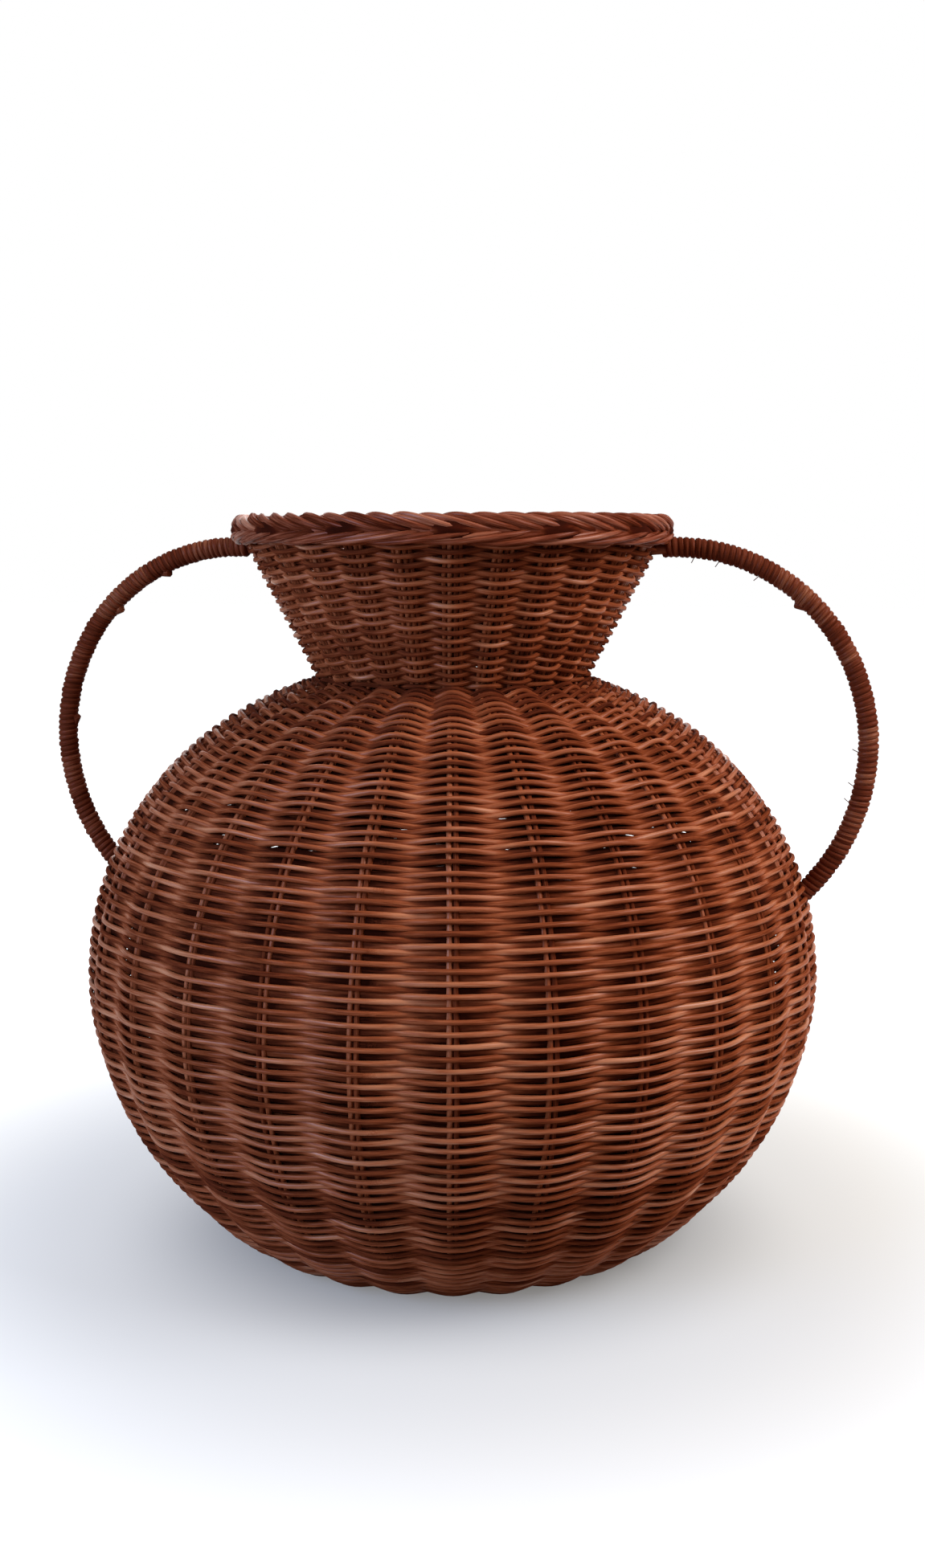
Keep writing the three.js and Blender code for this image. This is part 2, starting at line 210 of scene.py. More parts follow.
class VaseFinish(bpy.types.PropertyGroup):
    """Stains of the rattan"""

    # The darkest stop of every stain is painted shade, for the hollows of the weave and the tucked ends of
    # the rim
    hollow_shade: colour("Hollow", "Stain that has settled in the hollows", (0.030, 0.004, 0.001))
    weave_dark: colour("Weave dark", "Darkest weavers", (0.150, 0.026, 0.008))
    weave_middle: colour("Weave middle", "Most weavers", (0.345, 0.075, 0.021))
    weave_light: colour("Weave light", "Lightest weavers", (0.540, 0.168, 0.062))
    rim_dark: colour("Rim dark", "Darkest reeds of the rim", (0.060, 0.007, 0.002))
    rim_middle: colour("Rim middle", "Most reeds of the rim", (0.225, 0.040, 0.011))
    rim_light: colour("Rim light", "Lightest reeds of the rim", (0.470, 0.130, 0.048))
    handle_dark: colour("Handle dark", "Darkest turns of a binding", (0.055, 0.009, 0.003))
    handle_middle: colour("Handle middle", "Most turns of a binding", (0.165, 0.027, 0.008))
    handle_light: colour("Handle light", "Lightest turns of a binding", (0.400, 0.130, 0.052))
    # The lightness of the places and the neck fade darken them as painted shade, most of all the foot, the
    # collar, the stakes and the shoulder near the neck
    base_lightness: lightness("Base", -0.05)
    foot_lightness: lightness("Foot", -0.14)
    belly_lightness: lightness("Belly", -0.07)
    shoulder_lightness: lightness("Shoulder", -0.11)
    neck_fade: number("Neck fade", "How much darker the shoulder grows towards the neck", 0.2)
    collar_lightness: lightness("Collar", -0.15)
    stake_lightness: lightness("Stake", -0.12)


class VaseStage(bpy.types.PropertyGroup):
    """Camera, floor and light"""

    azimuth: degrees("Azimuth", "Direction of the camera round the vase", 9.7)
    pitch: degrees("Pitch", "How far the camera looks down", 8.15)
    distance: length("Distance", "Distance of the camera from the axis", 0.997)
    height: length("Height", "Height of the camera", 0.403)
    sideways: length("Sideways", "How far the camera stands to the right", 5.6 * MM)
    lens: number("Lens", "Focal length in millimetres", 39.65)
    key_power: number("Key power", "Watts of the light at the right", 29.5)
    fill_power: number("Fill power", "Watts of the cool light at the left", 28.0)
    overhead_power: number("Overhead power", "Watts of the light overhead", 5.0)
    back_power: number("Back power", "Watts of the light behind the vase", 12.0)
    room_light: number("Room light", "Strength of the light from all round", 0.15)
    # The glow of the floor in its painted shadow near the vase
    floor_glow: number("Floor glow", "Brightness that the floor keeps in the shadow", 0.55)


# Node trees written as arithmetic

# Distance from seed to seed along the noise
SEED_STRIDE = 31.7


def arithmetic(operation, reflected=False):
    """A method of a wire that adds one step of arithmetic to its graph."""
    def method(self, other):
        pair = (other, self) if reflected else (self, other)
        return self.graph.calculate(operation, *pair)
    return method


class Wire:
    """An output socket; arithmetic on it adds Math nodes, or Vector Math nodes where it is a vector."""

    def __init__(self, graph, socket):
        self.graph = graph
        self.socket = socket

    __add__ = arithmetic("ADD")
    __radd__ = arithmetic("ADD", reflected=True)
    __sub__ = arithmetic("SUBTRACT")
    __rsub__ = arithmetic("SUBTRACT", reflected=True)
    __mul__ = arithmetic("MULTIPLY")
    __rmul__ = __mul__
    __truediv__ = arithmetic("DIVIDE")
    __pow__ = arithmetic("POWER")


class Graph:
    """A node tree that is filled by calls and by arithmetic on its wires."""

    def __init__(self, tree):
        self.tree = tree

    def node(self, kind, settings=None, values=None, outputs=0):
        """Add a node: first its settings, then the values or links of its sockets; gives its outputs."""
        made = self.tree.nodes.new(kind)
        for name, setting in (settings or {}).items():
            if name == "stops":
                self.set_stops(made.color_ramp, setting)
            else:
                setattr(made, name, setting)
        for key, value in (values or {}).items():
            socket = self.socket(made.inputs, key)
            if isinstance(value, Wire):
                self.tree.links.new(value.socket, socket)
            else:
                socket.default_value = value
        if isinstance(outputs, list):
            return [Wire(self, self.socket(made.outputs, key)) for key in outputs]
        return Wire(self, self.socket(made.outputs, outputs)) if len(made.outputs) else None

    @staticmethod
    def socket(sockets, key):
        """The socket at a number, or the first one in use that has a name."""
        if isinstance(key, int):
            return sockets[key]
        return next(socket for socket in sockets if socket.name == key and socket.enabled)

    @staticmethod
    def set_stops(ramp, stops):
        """Give a ramp its stops, each a place and a colour."""
        while len(ramp.elements) < len(stops):
            ramp.elements.new(1.0)
        for element, (place, shade) in zip(ramp.elements, stops):
            element.position = place
            element.color = (*shade, 1.0)

    def calculate(self, operation, first, second):
        """One step of arithmetic on numbers or on vectors."""
        vectors = [isinstance(each, Wire) and each.socket.type == "VECTOR" for each in (first, second)]
        if not any(vectors):
            return self.node("ShaderNodeMath", {"operation": operation}, {0: first, 1: second})
        if all(vectors):
            return self.node("ShaderNodeVectorMath", {"operation": operation}, {0: first, 1: second})
        return self.node("ShaderNodeVectorMath", {"operation": "SCALE"}, {0: first, "Scale": second})

    def apply(self, operation, value):
        """A Math node with one operand, such as COSINE or FLOOR."""
        return self.node("ShaderNodeMath", {"operation": operation}, {0: value})

    def vector(self, x, y, z):
        """A vector from its three parts."""
        return self.node("ShaderNodeCombineXYZ", {}, {"X": x, "Y": y, "Z": z})

    def wobble(self, place, seed, rate, amount=1.0):
        """A smooth random value about zero; it changes along a line at a rate, and by an amount."""
        line = place * rate + seed * SEED_STRIDE
        settings = {"noise_dimensions": "1D"}
        noise = self.node("ShaderNodeTexNoise", settings, {"W": line, "Scale": 1.0, "Detail": 1.0})
        return (noise - 0.5) * amount

    def random(self, index, seed):
        """A random value from 0 to 1 for each whole number."""
        values = {"ID": index, "Seed": seed}
        return self.node("FunctionNodeRandomValue", {"data_type": "FLOAT"}, values, "Value")

    def attribute(self, name):
        """A named attribute of the geometry, in Geometry Nodes."""
        settings = {"data_type": "FLOAT"}
        return self.node("GeometryNodeInputNamedAttribute", settings, {"Name": name}, "Attribute")

    def carried(self, name, output="Fac"):
        """A named attribute of the mesh, in a material."""
        return self.node("ShaderNodeAttribute", {"attribute_name": name}, {}, output)

    def store(self, geometry, name, value, data_type="FLOAT"):
        """Geometry that carries a value under a name."""
        settings = {"data_type": data_type, "domain": "POINT"}
        values = {"Geometry": geometry, "Name": name, "Value": value}
        return self.node("GeometryNodeStoreNamedAttribute", settings, values)


def cleared(owner):
    """The emptied graph of a material or a world."""
    owner.use_nodes = True
    owner.node_tree.nodes.clear()
    return Graph(owner.node_tree)


# Strands laid by a rule

# Where a point of a strand lies: its run along the guide, its lift off it as a share of the guide's bulge,
# its distance sideways and its angle round the axis; then the strand's girth and tone, and how much
# lighter it is painted at this point, for wear and as painted light and shade
Lie = namedtuple("Lie", "run lift sideways angle girth tone shade")

# Sizes that every rule's tree takes
STRAND_SIZES = {"Strands": 1, "Points": 2, "Sides": 6, "Thickness": MM, "Seed": 1}


def strand_tree(name, rule, sizes):
    """A tree that lays round strands along a guide line, by a rule for each point of each strand."""
    tree = bpy.data.node_groups.new(name, "GeometryNodeTree")
    tree.interface.new_socket("Guide", in_out="INPUT", socket_type="NodeSocketGeometry")
    for label, value in {**STRAND_SIZES, **sizes}.items():
        kind = "NodeSocketInt" if isinstance(value, int) else "NodeSocketFloat"
        tree.interface.new_socket(label, in_out="INPUT", socket_type=kind).default_value = value
    tree.interface.new_socket("Finish", in_out="INPUT", socket_type="NodeSocketMaterial")
    tree.interface.new_socket("Strands", in_out="OUTPUT", socket_type="NodeSocketGeometry")
    graph = Graph(tree)
    group = tree.nodes.new("NodeGroupInput")
    size = {socket.name: Wire(graph, socket) for socket in group.outputs if socket.name}

    guide = graph.node("GeometryNodeMeshToCurve", {}, {"Mesh": size["Guide"]})
    straight = graph.node("GeometryNodeCurvePrimitiveLine")
    straight = graph.node("GeometryNodeResampleCurve", {}, {"Curve": straight, "Count": size["Points"]})
    starts = graph.node("GeometryNodeMeshLine", {}, {"Count": size["Strands"]})
    starts = graph.store(starts, "strand", graph.node("GeometryNodeInputIndex"))
    laid = graph.node("GeometryNodeInstanceOnPoints", {}, {"Points": starts, "Instance": straight})
    laid = graph.node("GeometryNodeRealizeInstances", {}, {"Geometry": laid})

    along = graph.node("GeometryNodeSplineParameter", outputs="Factor")
    lie = rule(graph, size, along, graph.attribute("strand"))
    laid = graph.store(laid, "tone", lie.tone)
    laid = graph.store(laid, "shade", lie.shade)
    laid = graph.store(laid, "girth", lie.girth)
    bulge, middle, heading = graph.node(
        "GeometryNodeSampleCurve",
        {"mode": "LENGTH"},
        {"Curves": guide, "Value": graph.attribute("bulge"), "Length": lie.run},
        ["Value", "Position", "Tangent"],
    )
    ahead, _, upwards = graph.node("ShaderNodeSeparateXYZ", {}, {"Vector": heading}, ["X", "Y", "Z"])
    outwards = graph.vector(upwards, 0.0, 0.0 - ahead)
    place = middle + outwards * (bulge * lie.lift) + graph.vector(0.0, lie.sideways, 0.0)
    place = graph.node(
        "ShaderNodeVectorRotate", {"rotation_type": "Z_AXIS"}, {"Vector": place, "Angle": lie.angle}
    )
    laid = graph.node("GeometryNodeSetPosition", {}, {"Geometry": laid, "Position": place})
    laid = graph.store(laid, "run", graph.node("GeometryNodeSplineParameter", outputs="Length"))

    ring = {"Resolution": size["Sides"], "Radius": 1.0}
    section = graph.node("GeometryNodeCurvePrimitiveCircle", {}, ring)
    section = graph.store(section, "across", graph.node("GeometryNodeInputPosition"), "FLOAT_VECTOR")
    radius = graph.attribute("girth") * size["Thickness"] * 0.5
    tube = {"Curve": laid, "Profile Curve": section, "Scale": radius, "Fill Caps": True}
    strands = graph.node("GeometryNodeCurveToMesh", {}, tube)
    strands = graph.node("GeometryNodeSetShadeSmooth", {}, {"Geometry": strands})
    strands = graph.node("GeometryNodeRealizeInstances", {}, {"Geometry": strands})
    strands = graph.node("GeometryNodeSetMaterial", {}, {"Geometry": strands, "Material": size["Finish"]})
    graph.node("NodeGroupOutput", {}, {"Strands": strands})
    return tree


def lay(name, guide, tree, finish, **sizes):
    """A piece of strands: the tree runs on its guide line, and the result is kept as a plain mesh."""
    line = bpy.data.meshes.new(f"{name}_guide")
    edges = [(i, i + 1) for i in range(len(guide) - 1)]
    line.from_pydata([(radius, 0.0, height) for radius, height, _ in guide], edges, [])
    bulges = line.attributes.new("bulge", "FLOAT", "POINT")
    bulges.data.foreach_set("value", [bulge for _, _, bulge in guide])
    piece = bpy.data.objects.new(name, line)
    bpy.context.scene.collection.objects.link(piece)

    modifier = piece.modifiers.new("Strands", "NODES")
    modifier.node_group = tree
    given = {label.replace("_", " ").title(): value for label, value in sizes.items()}
    given["Finish"] = finish
    for item in tree.interface.items_tree:
        if item.in_out == "INPUT" and item.name in given:
            modifier[item.identifier] = given.pop(item.name)
    if given:
        raise ValueError(f"{tree.name} has no input named {sorted(given)}")
    shaped = piece.evaluated_get(bpy.context.evaluated_depsgraph_get())
    mesh = bpy.data.meshes.new_from_object(shaped)
    piece.modifiers.remove(modifier)
    mesh.name = name
    piece.data = mesh
    bpy.data.meshes.remove(line)
    return piece


def fit(piece, slot, *nodes):
    """Let a piece ride on the vase and stand for its nodes."""
    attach(piece, "root")
    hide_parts(*nodes)


# Rules

def run_between(size, along):
    """How far along the guide a strand is, from its start to its end."""
    return size["Start"] + along * (size["End"] - size["Start"])


def grouped(graph, size, strand):
    """The group of reeds that a strand belongs to, and its place from the middle of that group."""
    group = graph.apply("FLOOR", (strand + 0.5) / size["Reeds"])
    place = strand - group * size["Reeds"] - (size["Reeds"] - 1.0) * 0.5
    return group, place


WEAVER_SIZES = {
    "First Row": 0.0, "Rows": 1.0, "Start": 0.0, "Row Pitch": 0.0, "Stakes": 27,
    "Rib": 0.0, "Wander": 0.0, "Flattening": 0.0, "Lengths Per Row": 1.0, "Lightness": 0.0, "Fade": 0.0,
}
# A weaver's crests are flatter than a wave's, and inside the stakes it swings less far and is thicker
CREST_FLATNESS = 0.25
INNER_SWING = 0.8
INNER_GIRTH = 0.5
# The stain is worn off in places, from a height of their wobble; inside the stakes a weaver is darker,
# painted shade, and between them a little lighter, painted light
WORN_FROM = 0.13
WORN_LIGHTNESS = 1.6
BETWEEN_LIGHTNESS = 0.05
INNER_SHADE = 0.34
# A band darkens late on its way up, painted shade
FADE_POWER = 4.0


def weaver_rule(graph, size, along, strand):
    """One weaver climbs in a spiral and passes outside every second stake."""
    seed = size["Seed"]
    row = size["First Row"] + along * size["Rows"]
    angle = row * TURN
    wave = graph.apply("COSINE", angle * size["Stakes"] * 0.5)
    between = 1.0 - wave * wave
    inside = graph.calculate("MAXIMUM", 0.0 - wave, 0.0)
    crest = wave * (1.0 + between * CREST_FLATNESS)
    swing = crest * ((1.0 + INNER_SWING) / 2 + wave * ((1.0 - INNER_SWING) / 2))
    stray = graph.wobble(row, seed, rate=9.0, amount=size["Wander"])
    swell = graph.wobble(row, seed + 1, rate=27.0, amount=0.3)
    thicker = graph.wobble(row, seed + 2, rate=6.0, amount=0.25)
    worn = graph.wobble(row * size["Stakes"], seed + 3, rate=0.6) - WORN_FROM
    worn = graph.calculate("MAXIMUM", worn, 0.0)
    # Wear, with painted shade inside the stakes and painted light between them
    lighter = worn * WORN_LIGHTNESS + between * BETWEEN_LIGHTNESS - inside * INNER_SHADE
    return Lie(
        run=size["Start"] + along * size["Rows"] * size["Row Pitch"] + stray,
        lift=swing * (1.0 + swell) - size["Rib"] * between,
        sideways=0.0,
        angle=angle,
        girth=1.0 + thicker - wave * size["Flattening"] + inside * INNER_GIRTH,
        tone=graph.random(graph.apply("FLOOR", row * size["Lengths Per Row"]), seed),
        shade=lighter + size["Lightness"] - along**FADE_POWER * size["Fade"],
    )


REED_SIZES = {
    "Reeds": 2, "Start": 0.0, "End": 1.0, "Spacing": 0.0, "Wander": 0.0,
    "Unevenness": 0.0, "First Angle": 0.0, "Step": 1.0, "Lightness": 0.0,
}


def reed_rule(graph, size, along, strand):
    """Groups of reeds side by side, evenly spaced round the axis, run along the guide."""
    seed = size["Seed"] + strand
    group, place = grouped(graph, size, strand)
    return Lie(
        run=run_between(size, along),
        lift=graph.wobble(along, seed + 0.5, rate=9.0, amount=size["Unevenness"]),
        sideways=place * size["Spacing"] + graph.wobble(along, seed, rate=9.0, amount=size["Wander"]),
        angle=size["First Angle"] + group * size["Step"],
        girth=1.0 + graph.wobble(along, seed, rate=5.0, amount=0.2),
        tone=graph.random(strand, size["Seed"]),
        shade=size["Lightness"],
    )


BORDER_SIZES = {
    "Reeds": 2, "Start": 0.0, "End": 1.0, "Travel": 3.0, "Ease": 1.0,
    "Spread": 1.0, "Tilt": 0.0, "Dip": 0.0, "Step": 1.0,
}
# A reed thins and darkens late towards its ends, half as much at its first one; the darkening is painted
# shade where it dips into the roll
END_POWER = 8.0
FIRST_END = 0.5
END_THINNING = 0.4
END_SHADE = 0.3
BUNDLE_TONE_SHARE = 0.7


def border_rule(graph, size, along, strand):
    """Reeds of the border slant round its roll, and taper and dip at both ends."""
    seed = size["Seed"]
    group, place = grouped(graph, size, strand)
    travel = size["Travel"] * along ** size["Ease"]
    spread = place * size["Spread"] / size["Reeds"]
    stray = graph.wobble(strand, seed, rate=7.3, amount=0.2)
    uneven = graph.wobble(strand, seed + 1, rate=5.1, amount=0.5)
    thicker = graph.wobble(strand, seed + 2, rate=3.7, amount=0.3)
    ending = along**END_POWER + (1.0 - along) ** END_POWER * FIRST_END
    own_tone = graph.random(strand, seed) * (1.0 - BUNDLE_TONE_SHARE)
    return Lie(
        run=run_between(size, along),
        lift=place * size["Tilt"] + uneven - ending * size["Dip"],
        sideways=0.0,
        angle=(group + travel + spread + stray) * size["Step"],
        girth=1.0 + thicker - ending * END_THINNING,
        tone=graph.random(group, seed) * BUNDLE_TONE_SHARE + own_tone,
        shade=ending * -END_SHADE,
    )


BINDING_SIZES = {
    "Start": 0.0, "End": 1.0, "First Turn": 0.0, "Turns": 0.0, "Rise": 0.0, "Winding Radius": 0.0,
}
# Lengths of one tone in a turn of the binding, and the least and the spread of their tones
LENGTHS_PER_TURN = 0.4
LEAST_TONE = 0.2
TONE_SPREAD = 0.5


def binding_rule(graph, size, along, strand):
    """One strand is wound round the handle; a loose end of it also rises off the handle."""
    seed = size["Seed"]
    turn = size["First Turn"] + along * size["Turns"]
    around = turn * TURN
    height = 1.0 + graph.wobble(turn, seed, rate=1.7, amount=0.16) + along * size["Rise"]
    stray = graph.wobble(turn, seed, rate=0.9, amount=MM)
    tone = graph.random(graph.apply("FLOOR", turn * LENGTHS_PER_TURN), seed)
    return Lie(
        run=run_between(size, along) + stray,
        lift=graph.apply("COSINE", around) * height,
        sideways=graph.apply("SINE", around) * height * size["Winding Radius"],
        angle=0.0,
        girth=1.0 + graph.wobble(turn, seed + 1, rate=0.7, amount=0.3),
        tone=tone * TONE_SPREAD + LEAST_TONE,
        shade=0.0,
    )


# Guide lines: points given as radius, height and bulge

# Points of each half of the body's outline
CURVE_POINTS = 80
# Share of the foot's radius that lies flat
BASE_SHARE = 0.93
# How far the stakes go up the collar and on into the rim
COLLAR_SHARE = 1.1
RIM_ROLL_START = math.radians(-85)
RIM_ROLL_TURN = math.radians(300)


def shares(steps):
    """Even shares of a way, from 0 to 1."""
    return [i / steps for i in range(steps + 1)]


def smooth_step(value, low, high):
    """0 below the low value, 1 above the high one, and smooth in between."""
    share = min(max((value - low) / (high - low), 0.0), 1.0)
    return share * share * (3 - 2 * share)


def crest_curve(outline):
    """The body's outline over the crests, from the foot to the neck, as radius and height."""
    foot = Vector((outline.base_radius, 0))
    belly = Vector((outline.belly_radius, outline.belly_height))
    neck = Vector((outline.neck_radius, outline.neck_height))
    foot_arm = foot + Vector((outline.base_arm_out, outline.base_arm_up))
    under_arm = belly - Vector((0, outline.belly_arm_down))
    over_arm = belly + Vector((0, outline.belly_arm_up))
    neck_arm = neck + Vector((outline.neck_arm_out, -outline.neck_arm_down))
    lower = interpolate_bezier(foot, foot_arm, under_arm, belly, CURVE_POINTS)
    upper = interpolate_bezier(belly, over_arm, neck_arm, neck, CURVE_POINTS)
    return lower + upper[1:]


def outward(line, i):
    """Direction that points out of a line at one of its points."""
    side = (line[min(i + 1, len(line) - 1)] - line[max(i - 1, 0)]).normalized()
    return Vector((side.y, -side.x))


def wall_guide(outline, weave):
    """The line of the stakes from the middle of the base, up the wall to inside the rim."""
    body = crest_curve(outline)
    neck = body[-1]
    mouth = Vector((outline.mouth_radius, outline.mouth_height))
    collar = [neck.lerp(mouth, COLLAR_SHARE * share) for share in shares(steps=33)]
    faces = [(point, outward(body, i)) for i, point in enumerate(body)]
    shoulder_face = faces[-1][1]
    collar_face = outward(collar, 1)
    faces += [(neck, shoulder_face.slerp(collar_face, share)) for share in shares(steps=8)[1:-1]]
    faces += [(point, collar_face) for point in collar]

    level = weave.base_bulge + weave.weaver / 2
    flat = (weave.base_hole, outline.base_radius * BASE_SHARE)
    guide = [(radius, level, weave.base_bulge) for radius in flat]
    for point, face in faces:
        neck_share = 1.0
        if point.y < neck.y:
            neck_share -= smooth_step((point - neck).length, low=10 * MM, high=90 * MM)
        foot_share = 1 - smooth_step(point.y, low=0.0, high=60 * MM)
        bulge = weave.belly_bulge
        bulge += (weave.neck_bulge - weave.belly_bulge) * neck_share
        bulge += (weave.foot_bulge - weave.belly_bulge) * foot_share
        radius, height = point - face * (bulge + weave.weaver / 2)
        guide.append((radius, height, bulge))
    return guide


def run_at(guide, height):
    """Length along the wall's guide to where it first rises past a height."""
    run = 0.0
    for (r0, z0, _), (r1, z1, _) in zip(guide, guide[1:]):
        if z1 > height:
            return run + math.hypot(r1 - r0, z1 - z0) * (height - z0) / (z1 - z0)
        run += math.hypot(r1 - r0, z1 - z0)
    return run


def line_length(guide):
    """Length of a guide line."""
    return sum(math.hypot(b[0] - a[0], b[1] - a[1]) for a, b in zip(guide, guide[1:]))


def rim_middle(rim):
    """Radius and height of the middle of the border's roll, whose top is the top of the vase."""
    return rim.outer_radius - rim.depth / 2, CAD_BOX[1][2] - rim.height / 2


def rim_guide(rim):
    """Most of the way round the border's roll: from under its outer face, over it and down inside."""
    wide = (rim.depth - rim.reed) / 2
    high = (rim.height - rim.reed) / 2
    radius, height = rim_middle(rim)
    guide = []
    for share in shares(steps=60):
        angle = RIM_ROLL_START + RIM_ROLL_TURN * share
        guide.append((radius + wide * math.cos(angle), height + high * math.sin(angle), rim.reed))
    return guide


def handle_guide(outline, handle, side):
    """Middle line of a handle in the plane of both handles; side is 1 at the right and -1 at the left."""
    reach = handle.reach - handle.thickness / 2
    crown = Vector((outline.mouth_radius + handle.crown_out, outline.mouth_height - handle.crown_drop))
    seat = Vector((outline.mouth_radius - handle.seat_in, outline.mouth_height - handle.seat_drop))
    foot = min(crest_curve(outline)[CURVE_POINTS:], key=lambda point: abs(point.y - handle.foot))
    inset = reach - foot.x
    drop = handle.middle - foot.y
    bend = (inset**2 + drop**2) / (2 * inset)
    corner = Vector(((seat.x + crown.x) / 2, crown.y))
    arch = Vector((crown.x, handle.middle))
    line = []
    for share in shares(steps=8):
        line.append(seat.lerp(corner, share).lerp(corner.lerp(crown, share), share))
    for share in shares(steps=48)[1:]:
        angle = math.pi / 2 * (1 - share)
        out = (reach - arch.x) * math.cos(angle)
        up = (crown.y - arch.y) * math.sin(angle)
        line.append(arch + Vector((out, up)))
    last = math.asin(drop / bend) + handle.entry / bend
    for share in shares(steps=32)[1:]:
        angle = -last * share
        line.append(Vector((reach - bend + bend * math.cos(angle), arch.y + bend * math.sin(angle))))
    winding = (handle.thickness - handle.strand) / 2
    return [(side * point.x, point.y, winding) for point in line]


# Finishes

# The colours of each finish, and the gloss of its worn tops
FINISHES = {
    "weave_stain": ("weave", 0.9),
    "stake_stain": ("weave", 0.9),
    "rim_stain": ("rim", 1.0),
    "handle_stain": ("handle", 0.3),
}
# Fineness of the fibres round a strand and along it, and their distance from tone to tone
FIBRES_ROUND = 2.4
FIBRES_ALONG = 90.0
TONE_STRIDE = 50.0
# How much tone, fibres and patches lighten the stain, and how much deeper it is overall
TONE_LIGHTNESS = 0.34
FIBRE_LIGHTNESS = 0.6
PATCH_LIGHTNESS = 0.15
OVERALL_STAIN = 0.04


def rattan(name, gloss, hollow_shade, dark, middle, light):
    """Stained rattan: toned lengths with fibres along them, painted shade in hollows, gloss on worn tops.
    """
    material = bpy.data.materials.new(name)
    graph = cleared(material)
    tone = graph.carried("tone")
    shade = graph.carried("shade")
    run = graph.carried("run")
    across = graph.carried("across", "Vector")
    place = graph.node("ShaderNodeTexCoord", {}, {}, "Object")
    fibre_place = across * FIBRES_ROUND + graph.vector(0.0, 0.0, run * FIBRES_ALONG + tone * TONE_STRIDE)
    fibres = graph.node("ShaderNodeTexNoise", {}, {"Vector": fibre_place, "Scale": 1.0, "Detail": 3.0})
    upright = place * graph.vector(1.0, 1.0, 0.3)
    patches = graph.node("ShaderNodeTexNoise", {}, {"Vector": upright, "Scale": 18.0, "Detail": 2.0})
    paleness = tone * TONE_LIGHTNESS + fibres * FIBRE_LIGHTNESS + patches * PATCH_LIGHTNESS
    paleness = paleness + shade - OVERALL_STAIN
    stops = [(0.05, hollow_shade), (0.25, dark), (0.5, middle), (0.75, light)]
    stained = graph.node("ShaderNodeValToRGB", {"stops": stops}, {"Fac": paleness}, "Color")
    wear = {"Value": paleness, "From Min": 0.35, "From Max": 0.8, "To Min": 0.0, "To Max": gloss}
    worn = graph.node("ShaderNodeMapRange", {}, wear)
    bump = graph.node("ShaderNodeBump", {}, {"Strength": 0.35, "Distance": 0.4 * MM, "Height": fibres})
    surface = {
        "Base Color": stained, "Roughness": 0.75 + fibres * 0.25, "Normal": bump,
        "Specular IOR Level": 0.03, "Coat Weight": worn, "Coat Roughness": 0.4,
    }
    shader = graph.node("ShaderNodeBsdfPrincipled", {}, surface)
    graph.node("ShaderNodeOutputMaterial", {}, {"Surface": shader})
    return material


def finish_named(name):
    """One of the vase's rattans, made the first time that it is asked for."""
    if name in bpy.data.materials:
        return bpy.data.materials[name]
    stains = bpy.context.scene.vase_finish
    kind, gloss = FINISHES[name]
    dark, middle, light = (getattr(stains, f"{kind}_{depth}") for depth in ("dark", "middle", "light"))
    return rattan(name, gloss, stains.hollow_shade, dark, middle, light)


# Pieces

# A band of the weave: its nodes, the run at its end, the pitch of its rows, its lightness as painted
# shade, the rib of its weavers, and how much darker it grows towards its end, also painted shade
Band = namedtuple("Band", "nodes end pitch lightness rib fade", defaults=(0.0, 0.0))

# Loose ends inside a handle: thickness, reach along it, rise off it as a share of the winding's radius,
# and places as shares of the handle's length
LooseEnd = namedtuple("LooseEnd", "thickness reach rise places")
LOOSE_ENDS = {
    "knot": LooseEnd(4.6 * MM, -5 * MM, 0.75, {"right": (0.36,), "left": (0.25, 0.385, 0.65)}),
    "splinter": LooseEnd(
        0.5 * MM, -2 * MM, 1.35, {"right": (0.115, 0.165, 0.25, 0.68, 0.75, 0.785), "left": ()}
    ),
}

POINTS_PER_STAKE = 8
POINTS_PER_TURN = 18
REEDS_ROUND_FILLING = 1.7


